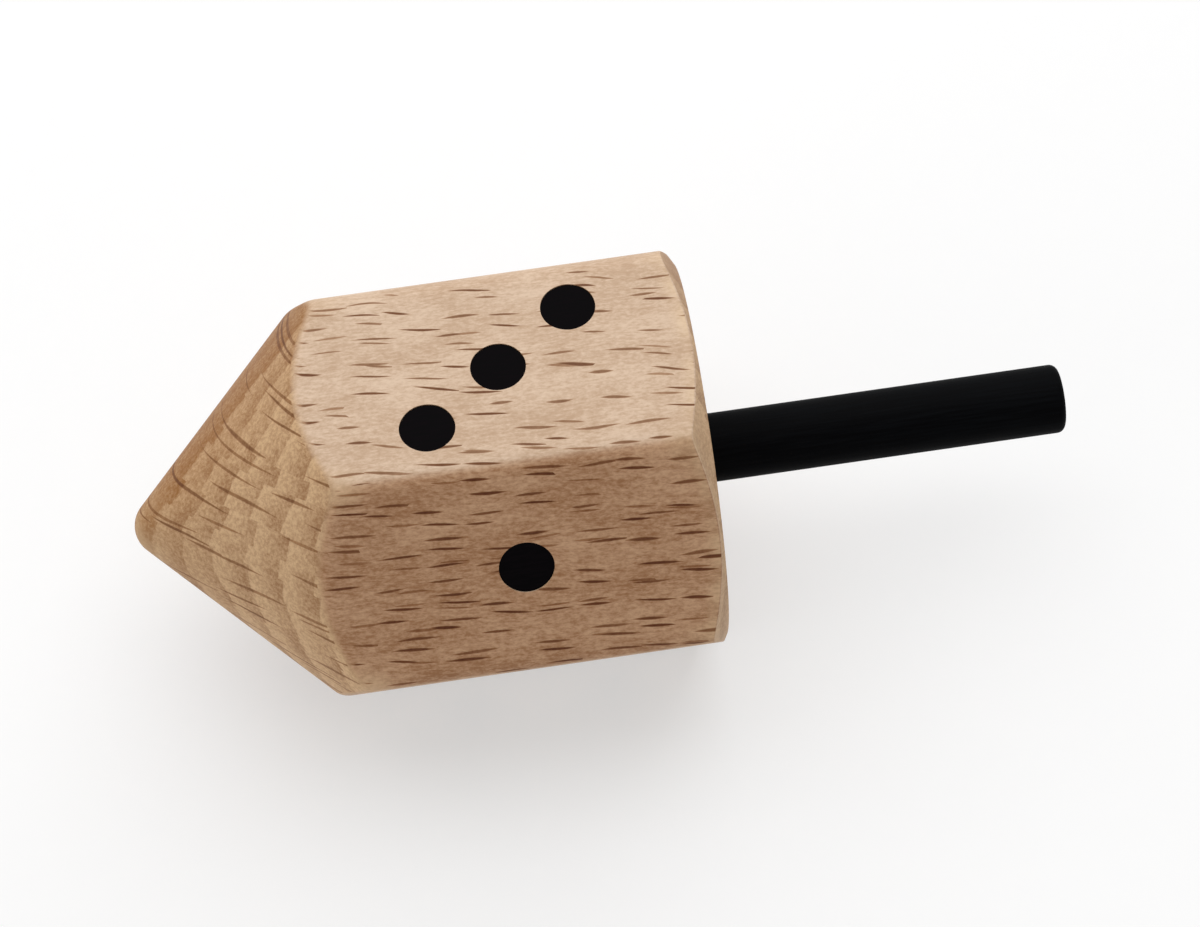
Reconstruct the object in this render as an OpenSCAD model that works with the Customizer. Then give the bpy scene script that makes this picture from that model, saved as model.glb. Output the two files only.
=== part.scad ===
// Dice spinning top, lying on one of its six faces.
// The axis runs along X, with the tip at -X and the stem at +X.
// The face it lies on is in the plane z = 0, and the origin is under the middle of its length.

/* [Body] */
// Width of the hexagonal block across opposite faces
across_flats = 25; // [20:0.5:32]
// Length of a face on its middle line, from the cone to the stem end
block_l = 25; // [22:0.5:36]
// Radius that the long edges are sanded to
arris_r = 0.8; // [0.4:0.1:2]
// Angle between the turned cone and the axis
cone_angle = 45; // [38:1:52]
// Radius of the blunt tip that the top spins on
tip_r = 2; // [1:0.1:3.5]
// Radial width of the turned chamfer at the stem end, from the long edges inwards
chamfer_w = 2.25; // [1.5:0.05:4]
// Angle between that chamfer and the flat end
chamfer_angle = 30; // [20:1:45]

/* [Stem] */
// Diameter of the dowel where it stands out of the body
stem_d = 4.5; // [3:0.1:7]
// Length of the dowel that stands out of the body
stem_free_l = 23.7; // [15:0.1:35]
// Length of the tenon that is glued into the body
tenon_l = 15; // [8:0.5:18]
// Width of the shoulder between the free dowel and its tenon
shoulder_w = 0.3; // [0.2:0.05:0.6]
// Radius that the free end of the dowel is rounded to
stem_end_r = 0.5; // [0.2:0.1:1.2]
// Thickness of the glue film between the tenon and its hole
glue_t = 0.1; // [0.05:0.05:0.25]

/* [Pips] */
// Diameter of a pip
pip_d = 3.5; // [2.5:0.1:4.4]
// Distance from the middle pip to the next along the axis
pip_pitch_along = 4.85; // [4.6:0.05:6]
// Distance from the middle line of a face to a row of pips
pip_pitch_across = 3.75; // [2.5:0.05:4.5]
// Distance from the stem end of the body to the middle of the pips
pip_setback = 12.3; // [10:0.1:13]
// Depth of the black stain in its seat
pip_t = 0.25; // [0.1:0.05:0.5]
// Distance that a pip lies under its face
pip_sink = 0.05; // [0:0.01:0.1]

/* [Hidden] */
$fn = 96;
SIDES = 6;
// Short straight pieces in a round stretch of an outline
ROUND_STEPS = 8;
// Numbers on the faces, from the top one over towards the viewer and round
FACE_NUMBERS = [3, 1, 5, 4, 6, 2];
NUMBER_WORDS = ["none", "one", "two", "three", "four", "five", "six"];
BEECH = "burlywood";
BLACK = [0.06, 0.06, 0.07];
GLUE = [0.93, 0.88, 0.72];
// Length by which a shape runs past what it cuts, or on into what it joins
past = 1;

apothem = across_flats / 2;
side_turn = 360 / SIDES;
corner_center_r = (apothem - arris_r) / cos(side_turn / 2);
corner_r = corner_center_r + arris_r;
end_face_r = corner_r - chamfer_w;

// Stations along the axis, measured from the tip
body_end = cone_h(apothem) + block_l;
stem_end = body_end + stem_free_l;
pip_station = body_end - pip_setback;

tenon_d = stem_d - 2 * shoulder_w;
bore_d = tenon_d + 2 * glue_t;
pip_seat_t = pip_t + pip_sink;

// Height above the tip at which the cone has a radius, less what the blunt tip takes off the cone's point
function cone_h(r) = r / tan(cone_angle) - tip_r * (1 / sin(cone_angle) - 1);

// Points on a round stretch of an outline
function arc(center, r, from, to) =
    [for (i = [0:ROUND_STEPS])
        let (turn = from + (to - from) * i / ROUND_STEPS)
        center + r * [cos(turn), sin(turn)]];

// Places of a number's pips, in steps of the pitches
function pip_grid(n) = concat(
    n % 2 == 1 ? [[0, 0]] : [],
    n >= 2 ? [[-1, -1], [1, 1]] : [],
    n >= 4 ? [[-1, 1], [1, -1]] : [],
    n == SIDES ? [[0, -1], [0, 1]] : []);

function pip_name(n, i) = str("pip_", NUMBER_WORDS[n], "_", i + 1);

// Turns what is drawn up the Z axis from the tip to lie along X, centred over the origin
module along_axis() {
    translate([-stem_end / 2, 0, apothem])
        rotate([0, 90, 0])
            children();
}

// Section of the block: flat sides turned to +-X, joined by round edges
module block_section() {
    polygon([for (i = [0:SIDES - 1])
        let (corner = (i + 0.5) * side_turn)
        each arc(corner_center_r * [cos(corner), sin(corner)], arris_r,
            corner - side_turn / 2, corner + side_turn / 2)]);
}

// Outline of the turned body, from the tip over the cone to the chamfer
module turned_outline() {
    outer_r = corner_r + past;
    polygon(concat(
        arc([0, tip_r], tip_r, -90, -cone_angle),
        [[outer_r, cone_h(outer_r)],
            [outer_r, body_end - (outer_r - end_face_r) * tan(chamfer_angle)],
            [end_face_r, body_end],
            [0, body_end]]));
}

// Turns what is drawn on top of the pip pattern's middle onto a face, with Y across the face
module on_face(n) {
    slot = search(n, FACE_NUMBERS)[0];
    translate([pip_station - stem_end / 2, 0, apothem])
        rotate([slot * side_turn, 0, 0])
            translate([0, 0, apothem])
                children();
}

module at_pip(n, i) {
    place = pip_grid(n)[i];
    on_face(n)
        translate([place[0] * pip_pitch_along, place[1] * pip_pitch_across, 0])
            children();
}

module body() {
    color(BEECH)
        difference() {
            along_axis()
                intersection() {
                    translate([0, 0, -past])
                        linear_extrude(body_end + 2 * past)
                            block_section();
                    rotate_extrude()
                        turned_outline();
                }
            along_axis()
                translate([0, 0, body_end - tenon_l])
                    cylinder(d = bore_d, h = tenon_l + past);
            for (n = [1:SIDES])
                for (i = [0:n - 1])
                    at_pip(n, i)
                        translate([0, 0, -pip_seat_t])
                            cylinder(d = pip_d, h = pip_seat_t + past);
        }
}

// Outline of the dowel: a slimmer tenon, and a free part with its edge rounded
module stem_outline() {
    stem_r = stem_d / 2;
    translate([0, body_end - tenon_l])
        square([tenon_d / 2, tenon_l + past]);
    translate([0, body_end]) {
        square([stem_r, stem_free_l - stem_end_r]);
        square([stem_r - stem_end_r, stem_free_l]);
        translate([stem_r - stem_end_r, stem_free_l - stem_end_r])
            circle(stem_end_r);
    }
}

module stem() {
    color(BLACK)
        along_axis()
            rotate_extrude()
                stem_outline();
}

module stem_glue() {
    color(GLUE)
        along_axis()
            translate([0, 0, body_end - tenon_l])
                difference() {
                    cylinder(d = bore_d, h = tenon_l);
                    translate([0, 0, -past])
                        cylinder(d = tenon_d, h = tenon_l + 2 * past);
                }
}

module pip(n, i) {
    color(BLACK)
        at_pip(n, i)
            translate([0, 0, -pip_seat_t])
                cylinder(d = pip_d, h = pip_t);
}

body();
stem();
stem_glue();
for (n = [1:SIDES])
    for (i = [0:n - 1])
        pip(n, i);
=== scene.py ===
import math
from types import SimpleNamespace

import bmesh
import bpy
from mathutils import Matrix, Vector, noise


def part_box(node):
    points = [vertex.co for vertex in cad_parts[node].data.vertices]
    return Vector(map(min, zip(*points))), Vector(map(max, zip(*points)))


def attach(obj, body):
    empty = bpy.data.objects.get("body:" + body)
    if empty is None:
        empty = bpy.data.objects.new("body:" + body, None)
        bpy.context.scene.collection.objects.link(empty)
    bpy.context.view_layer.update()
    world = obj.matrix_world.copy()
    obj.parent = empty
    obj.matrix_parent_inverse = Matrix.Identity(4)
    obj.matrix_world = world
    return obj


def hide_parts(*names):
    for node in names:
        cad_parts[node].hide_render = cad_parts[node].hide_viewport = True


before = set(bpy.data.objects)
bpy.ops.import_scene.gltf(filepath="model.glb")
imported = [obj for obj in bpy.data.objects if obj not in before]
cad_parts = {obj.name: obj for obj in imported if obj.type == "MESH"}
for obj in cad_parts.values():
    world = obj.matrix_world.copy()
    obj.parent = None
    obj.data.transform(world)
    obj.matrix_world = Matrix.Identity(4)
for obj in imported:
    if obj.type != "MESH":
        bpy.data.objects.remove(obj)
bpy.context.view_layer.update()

# Sizes are in millimetres and angles in radians; meshes are scaled to metres when they are made
MM = 0.001
SIDES = 6
SIDE_TURN = 2 * math.pi / SIDES
HALF_TURN = SIDE_TURN / 2


def node_box(node):
    """Lowest and highest corner of a CAD node, in millimetres."""
    low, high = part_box(node)
    return low / MM, high / MM


# Sizes that the frame gives
body_low, body_high = node_box("body")
stem_low, stem_high = node_box("stem")
glue_low, glue_high = node_box("stem_glue")
top_pip_low, top_pip_high = node_box("pip_three_1")
PIPS = sorted(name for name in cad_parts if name.startswith("pip_"))

apothem = (body_high.z - body_low.z) / 2
corner_r = (body_high.y - body_low.y) / 2
axis_z = body_low.z + apothem
tip_x = body_low.x
end_x = body_high.x
stem_r = (stem_high.y - stem_low.y) / 2
stem_end_x = stem_high.x
bore_floor_x = stem_low.x
bore_r = (glue_high.y - glue_low.y) / 2
pip_r = (top_pip_high.x - top_pip_low.x) / 2
pip_t = top_pip_high.z - top_pip_low.z
pip_sink = body_high.z - top_pip_high.z

# The rounded long edges: a circle of arris_r in each corner of the hexagon
sharp_corner_r = apothem / math.cos(HALF_TURN)
arris_r = (sharp_corner_r - corner_r) / (sharp_corner_r / apothem - 1)
corner_center_r = corner_r - arris_r

# The turned outline of the body
CONE_ANGLE = math.radians(45)
TIP_R = 2
CHAMFER_W = 2.25
CHAMFER_ANGLE = math.radians(30)
end_face_r = corner_r - CHAMFER_W

# Softness of the turned edges, as the length that each takes of the stretches it joins
CONE_EDGE_SOFT = 0.6
CHAMFER_OUTER_SOFT = 0.1
CHAMFER_INNER_SOFT = 0.08
BORE_EDGE_SOFT = 0.05

# Long edges sanded by hand: the radius that they are rounded to at most, the length over which that
# varies along an edge, and what sets one edge apart from the next in the noise
WORN_ARRIS_R = 1.8
WEAR_LENGTH = 5
WEAR_SHIFT = 9.7
# The roundest one is the far one next to the top, counting from the top over towards the viewer, and all
# along it at least a share of its rounding is there
FAR_ARRIS = SIDES - 1
FAR_ARRIS_R = 2.7
FAR_ARRIS_LEAST = 0.7

# Reach of the paler colour round the corners of the block, along its stem end and at its tip; it is
# partly wear and partly painted highlight
PALE_CORNER_W = 2
PALE_END_W = 1
PALE_TIP_W = 3
# How much sooner it ends from a corner towards the axis than along the block
PALE_INWARD = 2.5

# The stem
GLUE_T = 0.1
tenon_r = bore_r - GLUE_T
TENON_END_SOFT = 0.2
SHOULDER_SOFT = 0.05
STEM_END_SOFT = 0.5
# Fine ridges along it: their depth, and how closely they lie
STEM_RIDGE = 0.03
STEM_RIDGE_SCALE = 4

# The pips: a stamped outline is never quite round
PIP_WOBBLE = 0.035
PIP_WOBBLE_SCALE = 1.7
PIP_CLEARANCE = 0.01
PIP_EDGE_SOFT = 0.04
# How far the cutter of a seat stands out of the wood
SEAT_CUTTER_H = 1

# Mesh density
FLAT_STEPS = 36
ARRIS_STEPS = 10
TIP_STEPS = 10
CORNER_STEPS = 6
PIP_STEPS = 72
STEM_STEPS = 96
FLOOR_STEPS = 4
# Steps on the cone, the face, the chamfer, the end, down the bore and on its floor
BODY_SPANS = [34, 66, 2, 10, 4, 1]
# Steps on the tenon's end, the tenon, its shoulder, the free stem and its end
STEM_SPANS = [3, 8, 2, 40, 6]

# Angle between two faces over which their edge is shaded as a sharp one
BODY_SHARP = math.radians(32)
STEM_SHARP = math.radians(40)
PIP_SHARP = math.radians(60)


# Curves and meshes

def turned(x, r, angle):
    """Point at a distance from the axis, in the direction angle from the top over towards the viewer."""
    return Vector((x, -r * math.sin(angle), axis_z + r * math.cos(angle)))


def corner_arc(start, corner, end):
    """Circular arc that is tangent to the two stretches that meet in a corner."""
    weight = math.sin((start - corner).angle(end - corner) / 2)
    points = []
    for i in range(CORNER_STEPS + 1):
        t = i / CORNER_STEPS
        a, b, c = (1 - t) ** 2, 2 * t * (1 - t) * weight, t ** 2
        points.append((a * start + b * corner + c * end) / (a + b + c))
    return points


def soft_path(corners, softness, spans):
    """Points along a broken line, with softened corners and each stretch in equal steps."""
    path = [corners[0]]
    for i, corner in enumerate(corners[1:], 1):
        soft = softness[i]
        back = (corners[i - 1] - corner).normalized() * soft
        start = path[-1]
        stop = corner + back
        path += [start.lerp(stop, k / spans[i - 1]) for k in range(1, spans[i - 1] + 1)]
        if soft:
            ahead = (corners[i + 1] - corner).normalized() * soft
            path += corner_arc(stop, corner, corner + ahead)[1:]
    return path


def lathe(directions, path_of):
    """Closed mesh from a path of (x, r) in each direction; all paths share their ends on the axis."""
    mesh = bmesh.new()
    rows = []
    for angle, reach in directions:
        path = path_of(angle, reach)
        rows.append([mesh.verts.new(turned(x, r, angle)) for x, r in path[1:-1]])
    start = mesh.verts.new(turned(path[0].x, 0, 0))
    stop = mesh.verts.new(turned(path[-1].x, 0, 0))
    for row, after in zip(rows, rows[1:] + rows[:1]):
        mesh.faces.new((start, after[0], row[0]))
        for a, b, c, d in zip(row, row[1:], after[1:], after):
            mesh.faces.new((a, d, c, b))
        mesh.faces.new((stop, row[-1], after[-1]))
    bmesh.ops.recalc_face_normals(mesh, faces=mesh.faces)
    return mesh


def make_object(name, mesh):
    """Object in metres from a mesh in millimetres."""
    bmesh.ops.scale(mesh, vec=(MM, MM, MM), verts=mesh.verts)
    data = bpy.data.meshes.new(name)
    mesh.to_mesh(data)
    mesh.free()
    made = bpy.data.objects.new(name, data)
    bpy.context.scene.collection.objects.link(made)
    return made


def shade(piece, sharp_angle):
    """Smooth shading that keeps the flats flat, with edges over the angle left sharp."""
    piece.data.shade_smooth()
    piece.data.set_sharp_from_angle(angle=sharp_angle)
    weighted = piece.modifiers.new("flat_normals", "WEIGHTED_NORMAL")
    weighted.keep_sharp = True


def dress(piece, material, slot, *nodes):
    """Gives a piece its material and its place in the frame."""
    piece.data.materials.clear()
    piece.data.materials.append(material)
    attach(piece, "root")
    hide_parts(*nodes)


# The beech body

def off_long_edge(angle):
    """Angle between a direction round the axis and the nearest long edge."""
    return abs(angle % SIDE_TURN - HALF_TURN)


def block_reach(off_edge, radius):
    """Reach of the block in a direction off a long edge that is rounded to a radius."""
    center_r = (apothem - radius) / math.cos(HALF_TURN)
    if off_edge > math.atan2(radius * math.sin(HALF_TURN), center_r + radius * math.cos(HALF_TURN)):
        return apothem / math.cos(HALF_TURN - off_edge)
    return center_r * math.cos(off_edge) + math.sqrt(radius ** 2 - (center_r * math.sin(off_edge)) ** 2)


def block_directions():
    """Directions round the axis and the block's reach in each, with more of them on each long edge."""
    angles = []
    flat_half = corner_center_r * math.sin(HALF_TURN)
    for side in range(SIDES):
        middle = side * SIDE_TURN
        for i in range(FLAT_STEPS):
            angles.append(middle + math.atan2(flat_half * (2 * i / FLAT_STEPS - 1), apothem))
        for i in range(ARRIS_STEPS):
            turn = SIDE_TURN * (i / ARRIS_STEPS - 0.5)
            out = corner_center_r + arris_r * math.cos(turn)
            angles.append(middle + HALF_TURN + math.atan2(arris_r * math.sin(turn), out))
    return [(angle, block_reach(off_long_edge(angle), arris_r)) for angle in angles]


def cone_x(r):
    """Station along the axis at which the cone has a radius."""
    return tip_x + r / math.tan(CONE_ANGLE) - TIP_R * (1 / math.sin(CONE_ANGLE) - 1)


def chamfer_x(r):
    """Station along the axis at which the chamfer at the stem end has a radius."""
    return end_x - (r - end_face_r) * math.tan(CHAMFER_ANGLE)


def arris_wear(angle, x):
    """What sanding by hand has taken off the block at a place, unevenly along each long edge."""
    edge = math.floor(angle / SIDE_TURN)
    off_edge = off_long_edge(angle)
    share = noise.noise(Vector((x / WEAR_LENGTH, edge * WEAR_SHIFT, 0))) / 2 + 0.5
    radius = WORN_ARRIS_R
    if edge % SIDES == FAR_ARRIS:
        share = FAR_ARRIS_LEAST + (1 - FAR_ARRIS_LEAST) * share
        radius = FAR_ARRIS_R
    return share * (block_reach(off_edge, arris_r) - block_reach(off_edge, radius))


def body_path(angle, reach):
    """Outline of the body from the tip over the cone, along a face and back down the bore."""
    tip_turn = math.pi / 2 - CONE_ANGLE
    tip = []
    for i in range(TIP_STEPS):
        turn = tip_turn * i / TIP_STEPS
        tip.append(Vector((tip_x + TIP_R * (1 - math.cos(turn)), TIP_R * math.sin(turn))))
    cone_start_r = TIP_R * math.sin(tip_turn)
    cone_reach = reach - arris_wear(angle, cone_x(reach))
    end_reach = reach - arris_wear(angle, chamfer_x(reach))
    corners = [
        Vector((cone_x(cone_start_r), cone_start_r)),
        Vector((cone_x(cone_reach), cone_reach)),
        Vector((chamfer_x(end_reach), end_reach)),
        Vector((end_x, end_face_r)),
        Vector((end_x, bore_r)),
        Vector((bore_floor_x, bore_r)),
        Vector((bore_floor_x, 0)),
    ]
    softness = [0, CONE_EDGE_SOFT, CHAMFER_OUTER_SOFT, CHAMFER_INNER_SOFT, BORE_EDGE_SOFT, 0, 0]
    path = tip + soft_path(corners, softness, BODY_SPANS)
    return [Vector((x, min(r, reach - arris_wear(angle, x)))) for x, r in path]


def pip_place(node):
    """Matrix that puts a pip drawn on the XY plane, with Z out of the wood, on its face."""
    low, high = node_box(node)
    center = (low + high) / 2
    side = round(math.atan2(-center.y, center.z - axis_z) / SIDE_TURN)
    turn = Matrix.Rotation(side * SIDE_TURN, 4, "X")
    middle = turn.inverted() @ Vector((center.x, center.y, center.z - axis_z))
    on_top = Matrix.Translation((middle.x, middle.y, apothem))
    return Matrix.Translation((0, 0, axis_z)) @ turn @ on_top


def pip_ring(mesh, seed, radius, height):
    """Ring of points on a stamped outline; the seed gives each pip an outline of its own.

    The first point lies half a step off the face's middle line, where the body has a line of points.
    """
    ring = []
    for i in range(PIP_STEPS):
        angle = 2 * math.pi * (i + 0.5) / PIP_STEPS
        around = Vector((math.cos(angle), math.sin(angle), seed))
        wobble = PIP_WOBBLE * (noise.noise(around * PIP_WOBBLE_SCALE) - 1) / 2
        ring.append(mesh.verts.new(Vector((around.x, around.y, 0)) * (radius + wobble)
                                   + Vector((0, 0, height))))
    return ring


def close_rings(mesh, rings):
    """Walls between rings of points, with a face over the first and the last."""
    for ring, after in zip(rings, rings[1:]):
        for i in range(PIP_STEPS):
            mesh.faces.new((ring[i - 1], ring[i], after[i], after[i - 1]))
    mesh.faces.new(reversed(rings[0]))
    mesh.faces.new(rings[-1])


def pip_seats():
    """Cutter for the stamped seats of all the pips."""
    mesh = bmesh.new()
    for seed, node in enumerate(PIPS):
        rings = [pip_ring(mesh, seed, pip_r, height) for height in (-pip_sink - pip_t, SEAT_CUTTER_H)]
        close_rings(mesh, rings)
        bmesh.ops.transform(mesh, matrix=pip_place(node), verts=rings[0] + rings[1])
    bmesh.ops.recalc_face_normals(mesh, faces=mesh.faces)
    return make_object("pip_seats", mesh)


def cut(piece, cutter):
    """Takes the cutter's shape out of a piece, for good."""
    boolean = piece.modifiers.new("seats", "BOOLEAN")
    boolean.object = cutter
    boolean.operation = "DIFFERENCE"
    boolean.solver = "EXACT"
    bpy.context.view_layer.update()
    whole = piece.data
    evaluated = piece.evaluated_get(bpy.context.evaluated_depsgraph_get())
    piece.data = bpy.data.meshes.new_from_object(evaluated)
    piece.modifiers.clear()
    bpy.data.meshes.remove(whole)
    bpy.data.objects.remove(cutter)


def mark_wear_and_highlight(mesh):
    """Marks where the wood is painted paler, partly as wear and partly as painted highlight: at the corners
    of the block, just inside its chamfer, at its tip.
    """
    wear_and_highlight = mesh.verts.layers.float.new("wear_and_highlight")
    corners = (cone_x(corner_r), chamfer_x(corner_r))
    for vert in mesh.verts:
        reach = math.hypot(vert.co.y, vert.co.z - axis_z)
        off_end = min(abs(vert.co.x - corner) for corner in corners)
        off_corner = math.hypot(off_end, PALE_INWARD * (corner_r - reach))
        off_chamfer = chamfer_x(reach) - vert.co.x
        if off_chamfer < CHAMFER_OUTER_SOFT / 2:
            off_chamfer = PALE_END_W
        off_tip = vert.co.x - tip_x
        reaches = ((off_corner, PALE_CORNER_W), (off_chamfer, PALE_END_W), (off_tip, PALE_TIP_W))
        vert[wear_and_highlight] = max(0, *(1 - off / width for off, width in reaches))


def make_body():
    """The block with its cone, chamfer and bore, its sanded edges with their paler wear and painted
    highlight, and the seats of the pips.
    """
    mesh = lathe(block_directions(), body_path)
    mark_wear_and_highlight(mesh)
    body = make_object("beech_body", mesh)
    cut(body, pip_seats())
    shade(body, BODY_SHARP)
    return body


# The stem and the pips

def stem_path(angle, reach):
    """Outline of the dowel from the end of its tenon to its rounded end; only its reach varies."""
    corners = [
        Vector((bore_floor_x, 0)),
        Vector((bore_floor_x, tenon_r)),
        Vector((end_x, tenon_r)),
        Vector((end_x, reach)),
        Vector((stem_end_x, reach)),
        Vector((stem_end_x, 0)),
    ]
    softness = [0, TENON_END_SOFT, 0, SHOULDER_SOFT, STEM_END_SOFT, 0]
    return soft_path(corners, softness, STEM_SPANS)


def make_stem():
    """The dowel with its tenon, and fine ridges along its free length."""
    directions = []
    for i in range(STEM_STEPS):
        angle = 2 * math.pi * i / STEM_STEPS
        around = Vector((math.cos(angle), math.sin(angle), 0))
        ridge = noise.noise(around * STEM_RIDGE_SCALE) - 1
        directions.append((angle, stem_r + STEM_RIDGE * ridge / 2))
    stem = make_object("black_stem", lathe(directions, stem_path))
    shade(stem, STEM_SHARP)
    return stem


def make_pip(seed, node):
    """Thin disc of stain that fills its seat, with a softened edge."""
    mesh = bmesh.new()
    radius = pip_r - PIP_CLEARANCE
    rings = [
        pip_ring(mesh, seed, radius, -pip_sink - pip_t),
        pip_ring(mesh, seed, radius, -pip_sink - PIP_EDGE_SOFT),
        pip_ring(mesh, seed, radius - PIP_EDGE_SOFT / 3, -pip_sink - PIP_EDGE_SOFT / 3),
        pip_ring(mesh, seed, radius - PIP_EDGE_SOFT, -pip_sink),
    ]
    close_rings(mesh, rings)
    bmesh.ops.transform(mesh, matrix=pip_place(node), verts=mesh.verts)
    pip = make_object("ink_" + node, mesh)
    shade(pip, PIP_SHARP)
    return pip


# Materials

def srgb(red, green, blue):
    """Linear colour from screen values of 0 to 255."""
    def linear(value):
        value /= 255
        return value / 12.92 if value <= 0.04045 else ((value + 0.055) / 1.055) ** 2.4
    return (linear(red), linear(green), linear(blue), 1)


class Shader:
    """Adds and wires the nodes of one material."""

    def __init__(self, name):
        self.material = bpy.data.materials.new(name)
        self.material.use_nodes = True
        self.tree = self.material.node_tree
        self.tree.nodes.clear()

    def add(self, kind, inputs=None, **settings):
        """Node with its settings; each input is a value, or the socket that it is linked to."""
        node = self.tree.nodes.new("ShaderNode" + kind)
        for key, value in settings.items():
            setattr(node, key, value)
        for key, value in (inputs or {}).items():
            if isinstance(value, bpy.types.NodeSocket):
                self.tree.links.new(value, node.inputs[key])
            else:
                node.inputs[key].default_value = value
        return node

    def math(self, operation, *values):
        """Value that a math node makes of values."""
        return self.add("Math", dict(enumerate(values)), operation=operation).outputs[0]

    def vector(self, operation, *values):
        """Vector that a vector math node makes of vectors, or their dot product as a value."""
        node = self.add("VectorMath", dict(enumerate(values)), operation=operation)
        return node.outputs["Value" if operation == "DOT_PRODUCT" else "Vector"]

    def weighted(self, *parts):
        """Sum of values, each times its weight."""
        total = 0
        for value, weight in parts:
            total = self.math("MULTIPLY_ADD", value, weight, total)
        return total

    def fade(self, value, start, stop, low=0, high=1):
        """low where value is start, high where it is stop, and smoothly from one to the other."""
        node = self.add("MapRange", {"Value": value, "From Min": start, "From Max": stop,
                                     "To Min": low, "To Max": high}, interpolation_type="SMOOTHSTEP")
        return node.outputs["Result"]

    def mix(self, factor, first, second, blend="MIX"):
        """Mix of two colours, which are sockets 6 and 7 of the mix node."""
        node = self.add("Mix", {0: factor, 6: first, 7: second}, data_type="RGBA", blend_type=blend)
        return node.outputs[2]

    def mix_value(self, factor, first, second):
        """Mix of two values, which are sockets 2 and 3 of the mix node."""
        node = self.add("Mix", {0: factor, 2: first, 3: second}, data_type="FLOAT")
        return node.outputs[0]

    def noise(self, place, scale, detail=2, roughness=0.5):
        """Noise of 0 to 1, with a number of features to the millimetre in each direction."""
        place = self.vector("MULTIPLY", place, scale)
        node = self.add("TexNoise", {"Vector": place, "Scale": 1, "Detail": detail,
                                     "Roughness": roughness})
        return node.outputs["Fac"]

    def millimetres(self):
        """The place on the piece, in millimetres."""
        place = self.add("TexCoord").outputs["Object"]
        return self.vector("MULTIPLY", place, (1 / MM, 1 / MM, 1 / MM))

    def grained(self, color, roughness, specular, height, strength, depth):
        """Material with a relief of a depth in millimetres."""
        bump = self.add("Bump", {"Height": height, "Strength": strength, "Distance": depth * MM})
        surface = self.add("BsdfPrincipled", {
            "Base Color": color,
            "Roughness": roughness,
            "Specular IOR Level": specular,
            "Normal": bump.outputs[0],
        })
        return self.finish(surface.outputs[0])

    def finish(self, shader):
        """The material, with its surface in place."""
        self.add("OutputMaterial", {"Surface": shader})
        return self.material


# Values of a noise between which a look runs from one end to the other
NOISE_RANGE = (0.3, 0.7)
TONE_RANGE = (0.35, 0.65)
FIBRE_RANGE = (0.2, 0.8)
STAIN_RANGE = (0.35, 0.7)

# Beech: the pith lies beside the block, parallel to the axis, with the rings round it and the rays pointing
# away from it. RINGS_FACE is the direction, from the top over towards the viewer, that the rings bulge to.
RINGS_FACE = math.radians(66)
PITH_R = 70
outward = Vector((0, -math.sin(RINGS_FACE), math.cos(RINGS_FACE)))
sideways = Vector((0, math.cos(RINGS_FACE), math.sin(RINGS_FACE)))
pith = Vector((0, 0, axis_z)) - PITH_R * outward
# How far the grain strays round the pith for each millimetre along the axis, and how far it sways
GRAIN_SLOPE = 0.062
GRAIN_SWAY = 0.7

# Rings: their width, and in rings how far they bend and how far they jog from sector to sector
RING_W = 2.1
RING_BEND = 0.9
RING_JOG = 0.4
# Shares of a ring over which it darkens outwards and then ends, and how much it darkens
RING_DARKENS = (0.05, 0.95)
RING_ENDS = (1, 0.96)
RING_DEPTH = (0.3, 0.65)
# Browner heartwood: distance of its edge from the axis, on the side that the rings bulge to, and in rings
# from that edge the stretches over which the wood turns brown, one slowly and one at once
HEART_EDGE = 1.5
HEART_SLOW = (2.8, -0.3)
HEART_SUDDEN = (0.12, -0.12)
# Share of brown that each stretch brings, and how the pores vary it
HEART_SHARE = 0.4
HEART_PORES = (1.2, 0.7)

# Features to the millimetre along the trunk, round the pith and away from it
FIBRE_SCALE = (0.8, 4.5, 4.5)
PATCH_SCALE = (0.18, 0.45, 0.45)
PORE_SCALE = (3, 4.5, 4.5)
FLECK_SCALE = (2.5, 6, 6)
SWAY_SCALE = (0.16, 0.4, 0.1)
BEND_SCALE = (0.03, 0.15, 0.12)
SECTOR_SCALE = 0.8
# Weight of fibres, patches and flecks in the tone of side wood, and the tones that pores give end wood
FIBRE_WEIGHT = 0.3
PATCH_WEIGHT = 0.3
FLECK_WEIGHT = 0.4
END_TONES = (0.45, 1.15)

# Colours of wood that is cut obliquely to the rings, flat along them, and across the grain; the flat-sawn
# ones are also darker as painted shade
OBLIQUE_PALE = srgb(219, 193, 168)
OBLIQUE_DEEP = srgb(189, 158, 130)
FLAT_SAWN_SHADED_PALE = srgb(202, 162, 128)
FLAT_SAWN_SHADED_DEEP = srgb(155, 110, 75)
END_PALE = srgb(206, 171, 131)
END_DEEP = srgb(153, 113, 76)
HEART_BROWN = srgb(140, 92, 44)
# Paler wood at the edges, partly wear and partly painted highlight, and the share of it that shows
EDGE_PALE = srgb(226, 196, 156)
EDGE_SHARE = (0.1, 0.5)
# What a faint ray and then a strong one leave of the colour of the wood, and the mask between the two
FAINT_RAY = (0.62, 0.5, 0.4, 1)
STRONG_RAY = (0.38, 0.25, 0.18, 1)
RAY_HALFWAY = 0.5

# How the surface lies, by cosines of its normal: to the trunk where side wood turns to end wood, on the
# cone and at the stem end, and to the bulge of the rings where oblique wood turns to flat-sawn wood, which
# also takes painted shade
CONE_TURN = (-0.15, -0.65)
END_TURN = (0.7, 0.95)
FLAT_SAWN_AND_SHADE_TURN = (0.55, 0.95)
# Share of end wood over which the rays are drawn as on end wood
ON_END = 0.9

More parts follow.
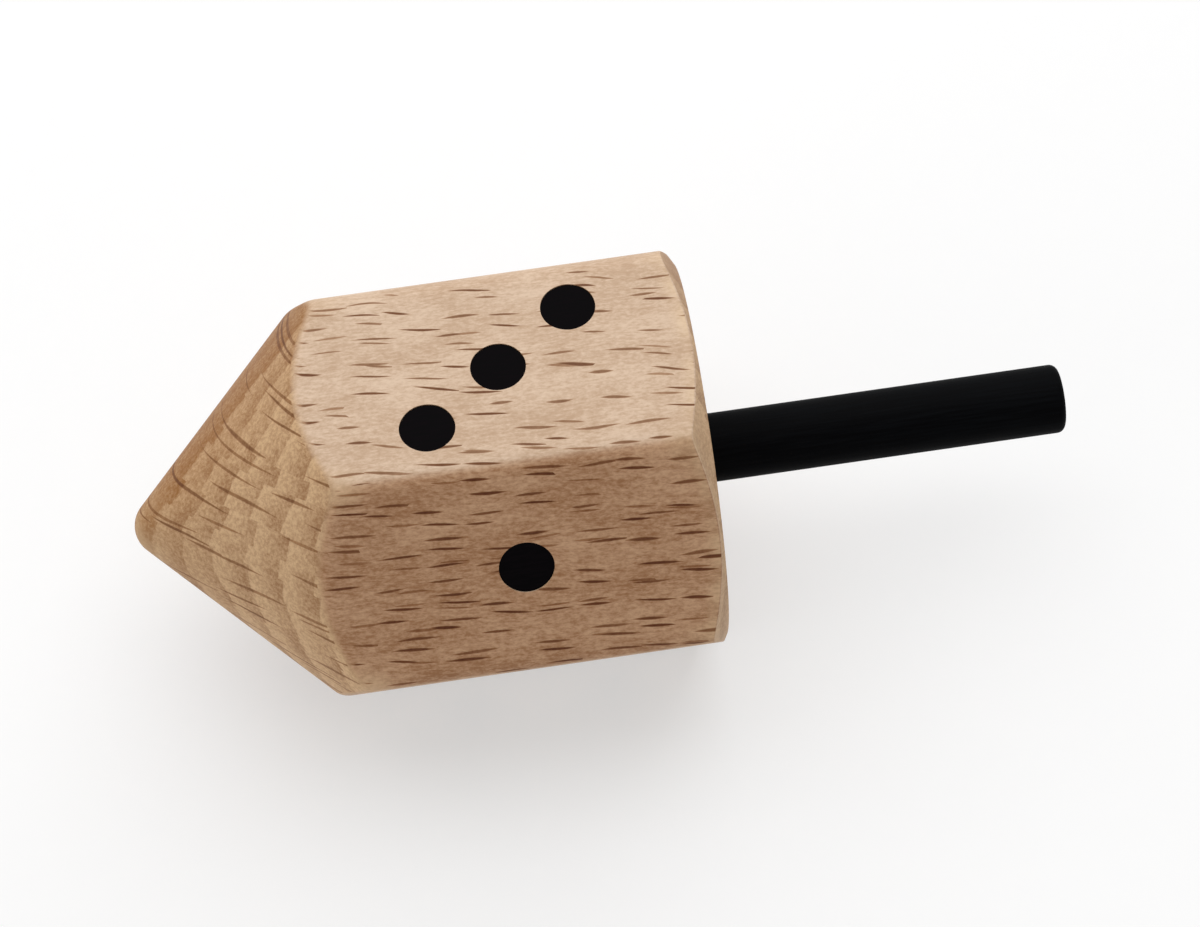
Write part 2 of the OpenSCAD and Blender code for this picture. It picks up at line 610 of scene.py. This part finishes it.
# Three sorts of rays. Each has the pitch of its cells and half the size of a ray, along the trunk and
# round the pith, a shift that sets it apart from the other sorts, and the share of its cells that stay
# empty on oblique wood, flat-sawn wood and end wood
BOLD_RAYS = {"pitch": (3.1, 0.8), "half": (1.2, 0.105), "shift": 0, "empty": (0, 0.33, 0.85)}
FAINT_RAYS = {"pitch": (2.9, 0.9), "half": (0.9, 0.09), "shift": 37.3, "empty": (0.6, 0.74, 1)}
END_RAYS = {"pitch": (5.2, 1.25), "half": (2.0, 0.12), "shift": 71.9, "empty": (1, 1, 0.15)}
# How far rays stray in their cells, and how much they slant
RAY_SCATTER = 0.9
RAY_SLANT = 0.08
# How rays differ, as shares of their size and depth; each fades in from just outside its outline, at 1
RAY_LENGTHS = (0.65, 1.3)
RAY_WIDTHS = (0.8, 1.1)
RAY_DEPTHS = (0.75, 1)
RAY_OUTLINE = (1.2, 0.5)
# Rays are thinner where the surface turns away from the bulge of the rings
THIN_TURN = (0.2, 1)
THIN_SHARE = (0.45, 1)
END_THIN = 0.95
# How much of the faint rays shows on oblique and flat-sawn wood, and of any ray on end wood
FAINT_SHOWN = (0.75, 0.65)
END_SHOWN = 0.75
# Cosines over which rays fade: at the cone and at the chamfer, to the least of them that is left there,
# and where they run along the surface, to nothing
RAY_CONE_TURN = (-0.05, -0.4)
RAY_CHAMFER_TURN = (0.3, 0.7)
RAY_LEAST = 0.2
RAY_ALONG_TURN = (0.15, 0.4)

# Relief and gloss: fibres stand out and rays are sunk, as shares of the depth
FIBRE_HEIGHT = 0.5
RAY_HEIGHT = -0.5
WOOD_ROUGHNESS = (0.5, 0.62)
WOOD_SPECULAR = 0.15


def wood_place(s, from_pith):
    """Place in the wood: along the trunk, round the pith, away from the pith."""
    along = s.vector("DOT_PRODUCT", from_pith, (1, 0, 0))
    out = s.vector("DOT_PRODUCT", from_pith, tuple(outward))
    aside = s.vector("DOT_PRODUCT", from_pith, tuple(sideways))
    radius = s.math("SQRT", s.math("ADD", s.math("MULTIPLY", out, out),
                                   s.math("MULTIPLY", aside, aside)))
    arc = s.math("ADD", s.math("MULTIPLY", s.math("ARCTAN2", aside, out), PITH_R),
                 s.math("MULTIPLY", along, GRAIN_SLOPE))
    straight = s.add("CombineXYZ", {0: along, 1: arc, 2: radius}).outputs[0]
    sway = s.noise(straight, SWAY_SCALE, detail=1)
    sway = s.math("MULTIPLY", s.math("SUBTRACT", sway, 0.5), GRAIN_SWAY)
    return s.vector("ADD", straight, s.add("CombineXYZ", {1: sway}).outputs[0])


def wood_noises(s, place):
    """Noises that vary the wood."""
    return SimpleNamespace(
        fibre=s.noise(place, FIBRE_SCALE, detail=4, roughness=0.65),
        patch=s.noise(place, PATCH_SCALE, detail=3),
        pores=s.noise(place, PORE_SCALE, detail=4, roughness=0.75),
        fleck=s.noise(place, FLECK_SCALE, roughness=0.7),
    )


def surface_kind(s, from_pith):
    """How the surface lies in the wood."""
    normal = s.add("TexCoord").outputs["Normal"]
    lengthwise = s.vector("DOT_PRODUCT", normal, (1, 0, 0))
    end = s.math("MAXIMUM", s.fade(lengthwise, *CONE_TURN), s.fade(lengthwise, *END_TURN))
    on_end = s.math("GREATER_THAN", end, ON_END)
    facing = s.math("ABSOLUTE", s.vector("DOT_PRODUCT", normal, tuple(outward)))
    ray_way = s.vector("NORMALIZE", s.vector("MULTIPLY", from_pith, (0, 1, 1)))
    return SimpleNamespace(
        lengthwise=lengthwise,
        end=end,
        on_end=on_end,
        # Where the rings lie flat: browner wood, and there also painted shade
        flat_sawn_and_shade=s.fade(facing, *FLAT_SAWN_AND_SHADE_TURN),
        across_rays=s.math("ABSOLUTE", s.vector("DOT_PRODUCT", normal, ray_way)),
        thinning=s.mix_value(on_end, s.fade(facing, *THIN_TURN, *THIN_SHARE), END_THIN),
    )


def side_wood(s, noises, surface):
    """Colour along the grain: pale where the rings are cut obliquely, browner where they lie flat, and
    darker there as painted shade.
    """
    tone = s.weighted((noises.fibre, FIBRE_WEIGHT), (noises.patch, PATCH_WEIGHT),
                      (noises.fleck, FLECK_WEIGHT))
    tone = s.fade(tone, *TONE_RANGE)
    # The flat-sawn colours are darker partly as painted shade, on the face towards the viewer and the face
    # opposite it
    return s.mix(surface.flat_sawn_and_shade, s.mix(tone, OBLIQUE_DEEP, OBLIQUE_PALE),
                 s.mix(tone, FLAT_SAWN_SHADED_DEEP, FLAT_SAWN_SHADED_PALE))


def ring_count(s, place):
    """Rings counted from the heartwood's edge, with a jog from one sector between rays to the next."""
    part = s.add("SeparateXYZ", {0: place})
    sector = s.add("TexVoronoi", {"W": part.outputs[1], "Scale": SECTOR_SCALE}, voronoi_dimensions="1D")
    jog = s.add("SeparateColor", {0: sector.outputs["Color"]}).outputs[0]
    wander = s.weighted((s.noise(place, BEND_SCALE), RING_BEND), (jog, RING_JOG))
    wander = s.math("SUBTRACT", wander, (RING_BEND + RING_JOG) / 2)
    from_heart = s.math("SUBTRACT", part.outputs[2], PITH_R + HEART_EDGE)
    return s.math("ADD", s.math("DIVIDE", from_heart, RING_W), wander)


def end_wood(s, place, noises):
    """Colour across the grain: rings that darken outwards, and the brown heartwood inside one of them."""
    count = ring_count(s, place)
    ring = s.math("FRACT", count)
    late = s.math("MULTIPLY", s.fade(ring, *RING_DARKENS), s.fade(ring, *RING_ENDS))
    darkened = s.math("MULTIPLY", late, s.fade(noises.patch, *TONE_RANGE, *RING_DEPTH))
    tone = s.math("SUBTRACT", s.fade(noises.pores, *NOISE_RANGE, *END_TONES), darkened)
    heart = s.math("ADD", s.fade(count, *HEART_SUDDEN, 0, HEART_SHARE),
                   s.fade(count, *HEART_SLOW, 0, HEART_SHARE))
    heart = s.math("MULTIPLY", heart, s.fade(noises.pores, *NOISE_RANGE, *HEART_PORES))
    return s.mix(heart, s.mix(tone, END_DEEP, END_PALE), HEART_BROWN)


def rays(s, place, surface, pitch, half, shift, empty):
    """Mask of one sort of rays: dashes along the trunk, thin round the pith, that run on away from it."""
    cells = s.vector("MULTIPLY", place, (1 / pitch[0], 1 / pitch[1], 0))
    cells = s.vector("ADD", cells, (shift, shift, 0))
    cell = s.add("TexVoronoi", {"Vector": cells, "Scale": 1, "Randomness": RAY_SCATTER},
                 voronoi_dimensions="2D")
    chance = s.add("SeparateColor", {0: cell.outputs["Color"]}).outputs
    off = s.vector("SUBTRACT", cells, cell.outputs["Position"])
    off = s.add("SeparateXYZ", {0: s.vector("MULTIPLY", off, (pitch[0], pitch[1], 0))}).outputs
    slant = s.math("MULTIPLY", s.math("SUBTRACT", chance[1], 0.5), RAY_SLANT)
    across = s.math("ADD", off[1], s.math("MULTIPLY", off[0], slant))

    length = s.fade(chance[0], 0, 1, *(share * half[0] for share in RAY_LENGTHS))
    width = s.fade(chance[2], 0, 1, *(share * half[1] for share in RAY_WIDTHS))
    along = s.math("DIVIDE", off[0], length)
    aside = s.math("DIVIDE", s.math("ABSOLUTE", across), s.math("MULTIPLY", width, surface.thinning))
    near = s.math("ADD", aside, s.math("MULTIPLY", along, along))

    on_oblique, on_flat_sawn, on_end = empty
    on_side = s.fade(surface.flat_sawn_and_shade, 0, 1, on_oblique, on_flat_sawn)
    there = s.math("GREATER_THAN", chance[0], s.mix_value(surface.on_end, on_side, on_end))
    depth = s.math("MULTIPLY", s.fade(chance[1], 0, 1, *RAY_DEPTHS), there)
    return s.math("MULTIPLY", s.fade(near, *RAY_OUTLINE), depth)


def all_rays(s, place, surface):
    """Mask of all the rays: dashes on the faces, and lines on the cone and the stem end."""
    bold = rays(s, place, surface, **BOLD_RAYS)
    faint = rays(s, place, surface, **FAINT_RAYS)
    faint = s.math("MULTIPLY", faint, s.fade(surface.flat_sawn_and_shade, 0, 1, *FAINT_SHOWN))
    over_edge = s.math("MULTIPLY", s.fade(surface.lengthwise, *RAY_CONE_TURN, 1, RAY_LEAST),
                       s.fade(surface.across_rays, *RAY_ALONG_TURN))
    shown = s.math("MULTIPLY", s.mix_value(surface.on_end, over_edge, END_SHOWN),
                   s.fade(surface.lengthwise, *RAY_CHAMFER_TURN, 1, RAY_LEAST))
    dashes = s.math("MULTIPLY", s.math("MAXIMUM", bold, faint), shown)
    lines = s.math("MULTIPLY", rays(s, place, surface, **END_RAYS), END_SHOWN)
    return s.math("MAXIMUM", dashes, lines)


def beech():
    """Solid beech, so that the grain runs on from face to face."""
    s = Shader("beech")
    from_pith = s.vector("SUBTRACT", s.millimetres(), tuple(pith))
    place = wood_place(s, from_pith)
    noises = wood_noises(s, place)
    surface = surface_kind(s, from_pith)
    color = s.mix(surface.end, side_wood(s, noises, surface), end_wood(s, place, noises))
    # Paler edges: partly wear, partly painted highlight
    wear_and_highlight = s.add("Attribute", attribute_name="wear_and_highlight").outputs["Fac"]
    wear_and_highlight = s.math("MULTIPLY", wear_and_highlight, s.fade(noises.patch, *NOISE_RANGE, *EDGE_SHARE))
    color = s.mix(wear_and_highlight, color, EDGE_PALE)
    ray = all_rays(s, place, surface)
    color = s.mix(s.fade(ray, 0, RAY_HALFWAY), color, FAINT_RAY, "MULTIPLY")
    color = s.mix(s.fade(ray, RAY_HALFWAY, 1), color, STRONG_RAY, "MULTIPLY")
    roughness = s.fade(noises.fibre, *FIBRE_RANGE, *WOOD_ROUGHNESS)
    height = s.weighted((noises.fibre, FIBRE_HEIGHT), (ray, RAY_HEIGHT))
    return s.grained(color, roughness, WOOD_SPECULAR, height, strength=0.25, depth=0.03)


# Black stain on the dowel and black ink of the pips
STAIN_SCALE = (0.25, 6, 6)
STAIN_DEEP = srgb(3, 3, 4)
STAIN_PALE = srgb(9, 10, 12)
STAIN_ROUGHNESS = (0.5, 0.65)
INK_SCALE = (0.8, 6, 6)
INK_DEEP = srgb(5, 4, 5)
INK_PALE = srgb(11, 8, 10)
INK_ROUGHNESS = (0.6, 0.75)
BLACK_SPECULAR = 0.02


def black_stain():
    """Satin black that follows the grain of the dowel."""
    s = Shader("black_stain")
    grain = s.noise(s.millimetres(), STAIN_SCALE, detail=3, roughness=0.6)
    color = s.mix(s.fade(grain, *STAIN_RANGE), STAIN_DEEP, STAIN_PALE)
    roughness = s.fade(grain, *NOISE_RANGE, *STAIN_ROUGHNESS)
    return s.grained(color, roughness, BLACK_SPECULAR, grain, strength=0.4, depth=0.03)


def pip_ink():
    """Matt black that follows the grain of the block."""
    s = Shader("pip_ink")
    grain = s.noise(s.millimetres(), INK_SCALE, detail=3)
    color = s.mix(s.fade(grain, *STAIN_RANGE), INK_DEEP, INK_PALE)
    roughness = s.fade(grain, *NOISE_RANGE, *INK_ROUGHNESS)
    return s.grained(color, roughness, BLACK_SPECULAR, grain, strength=0.3, depth=0.02)


# Dried glue
GLUE_SCALE = (1, 1, 1)
GLUE_DEEP = srgb(226, 214, 180)
GLUE_PALE = srgb(240, 232, 206)
GLUE_ROUGHNESS = 0.4


def dried_glue():
    """Cloudy pale yellow of wood glue."""
    s = Shader("dried_glue")
    cloud = s.noise(s.millimetres(), GLUE_SCALE, detail=3)
    color = s.mix(s.fade(cloud, *NOISE_RANGE), GLUE_DEEP, GLUE_PALE)
    surface = s.add("BsdfPrincipled", {"Base Color": color, "Roughness": GLUE_ROUGHNESS})
    return s.finish(surface.outputs[0])


# White paper, and the share of it that is seen as plain white
WHITE = (1, 1, 1, 1)
PAPER_SCALE = (0.5, 0.5, 0.5)
PAPER_DEEP = (0.95, 0.95, 0.95, 1)
PAPER_PALE = (0.97, 0.97, 0.97, 1)
PAPER_WHITE = 0.5


def any_seen(tree):
    """1 for rays that the camera sees straight, in a reflection or through glass, and 0 for light."""
    path = tree.nodes.new("ShaderNodeLightPath")
    seen = path.outputs["Is Camera Ray"]
    for ray in ("Is Glossy Ray", "Is Transmission Ray"):
        either = tree.nodes.new("ShaderNodeMath")
        either.operation = "MAXIMUM"
        tree.links.new(seen, either.inputs[0])
        tree.links.new(path.outputs[ray], either.inputs[1])
        seen = either.outputs[0]
    return seen


def white_paper():
    """Paper that is seen as white for the most part, and keeps a pale shadow."""
    s = Shader("white_paper")
    speckle = s.noise(s.millimetres(), PAPER_SCALE)
    paper = s.add("BsdfDiffuse", {"Color": s.mix(speckle, PAPER_DEEP, PAPER_PALE)})
    white = s.add("Emission", {"Color": WHITE, "Strength": 1})
    seen = s.math("MULTIPLY", any_seen(s.tree), PAPER_WHITE)
    surface = s.add("MixShader", {0: seen, 1: paper.outputs[0], 2: white.outputs[0]})
    return s.finish(surface.outputs[0])


# Pieces

dress(make_body(), beech(), "beech", "body")
dress(make_stem(), black_stain(), "black_dowel", "stem")
ink = pip_ink()
for seed, node in enumerate(PIPS):
    dress(make_pip(seed, node), ink, "pip_ink", node)
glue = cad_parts["stem_glue"]
glue.data.materials.clear()
glue.data.materials.append(dried_glue())

# Floor, light and camera

FLOOR_HALF = 1500
FLOOR_GAP = 0.02

# Lamps: place, length of a side and power in watts; the level of the even light from all around
KEY_LAMP = {"place": (40, 230, 470), "size": 800, "watts": 3.6}
FILL_LAMP = {"place": (-1350, -450, 95), "size": 900, "watts": 8.2}
AMBIENT = 0.3

# The photograph's direction and distance from the middle of the top
AIM = Vector((0, 0, axis_z))
CAMERA_OFFSET = Vector((-9.7, -130.9, 202.1))
CAMERA_ROLL = math.radians(-4.57)
CAMERA_LENS = 112
CAMERA_SENSOR = 36
CAMERA_NEAR = 10
CAMERA_FAR = 10000


def make_floor():
    """Sheet of paper just under the top."""
    mesh = bmesh.new()
    bmesh.ops.create_grid(mesh, x_segments=FLOOR_STEPS, y_segments=FLOOR_STEPS, size=FLOOR_HALF)
    bmesh.ops.translate(mesh, vec=(0, 0, -FLOOR_GAP), verts=mesh.verts)
    sheet = make_object("floor", mesh)
    sheet.data.materials.append(white_paper())
    return sheet


def area_light(name, place, size, watts):
    """Soft square lamp that is turned to the middle of the top."""
    lamp = bpy.data.lights.new(name, "AREA")
    lamp.size = size * MM
    lamp.energy = watts
    made = bpy.data.objects.new(name, lamp)
    made.location = Vector(place) * MM
    made.visible_camera = False
    made.rotation_mode = "QUATERNION"
    made.rotation_quaternion = (AIM - Vector(place)).to_track_quat("-Z", "Y")
    bpy.context.scene.collection.objects.link(made)


def soft_world(ambient):
    """Even white light at the ambient level, which the camera and reflections see as white."""
    world = bpy.data.worlds.new("studio")
    world.use_nodes = True
    bpy.context.scene.world = world
    tree = world.node_tree
    tree.nodes.clear()
    light = tree.nodes.new("ShaderNodeBackground")
    light.inputs["Strength"].default_value = ambient
    seen = tree.nodes.new("ShaderNodeBackground")
    mix = tree.nodes.new("ShaderNodeMixShader")
    tree.links.new(any_seen(tree), mix.inputs[0])
    tree.links.new(light.outputs[0], mix.inputs[1])
    tree.links.new(seen.outputs[0], mix.inputs[2])
    for background in (light, seen):
        background.inputs["Color"].default_value = WHITE
    output = tree.nodes.new("ShaderNodeOutputWorld")
    tree.links.new(mix.outputs[0], output.inputs["Surface"])


def make_camera():
    """Camera that looks at the middle of the top, rolled a little as in the photograph."""
    data = bpy.data.cameras.new("camera")
    data.sensor_width = CAMERA_SENSOR
    data.lens = CAMERA_LENS
    data.clip_start = CAMERA_NEAR * MM
    data.clip_end = CAMERA_FAR * MM
    made = bpy.data.objects.new("camera", data)
    bpy.context.scene.collection.objects.link(made)
    made.rotation_mode = "QUATERNION"
    look = (-CAMERA_OFFSET).to_track_quat("-Z", "Y").to_matrix()
    made.rotation_quaternion = (look @ Matrix.Rotation(CAMERA_ROLL, 3, "Z")).to_quaternion()
    made.location = (AIM + CAMERA_OFFSET) * MM
    return made


floor = make_floor()
area_light("key", **KEY_LAMP)
area_light("fill", **FILL_LAMP)
soft_world(AMBIENT)
bpy.context.scene.camera = make_camera()
bpy.context.scene.view_settings.view_transform = "Standard"
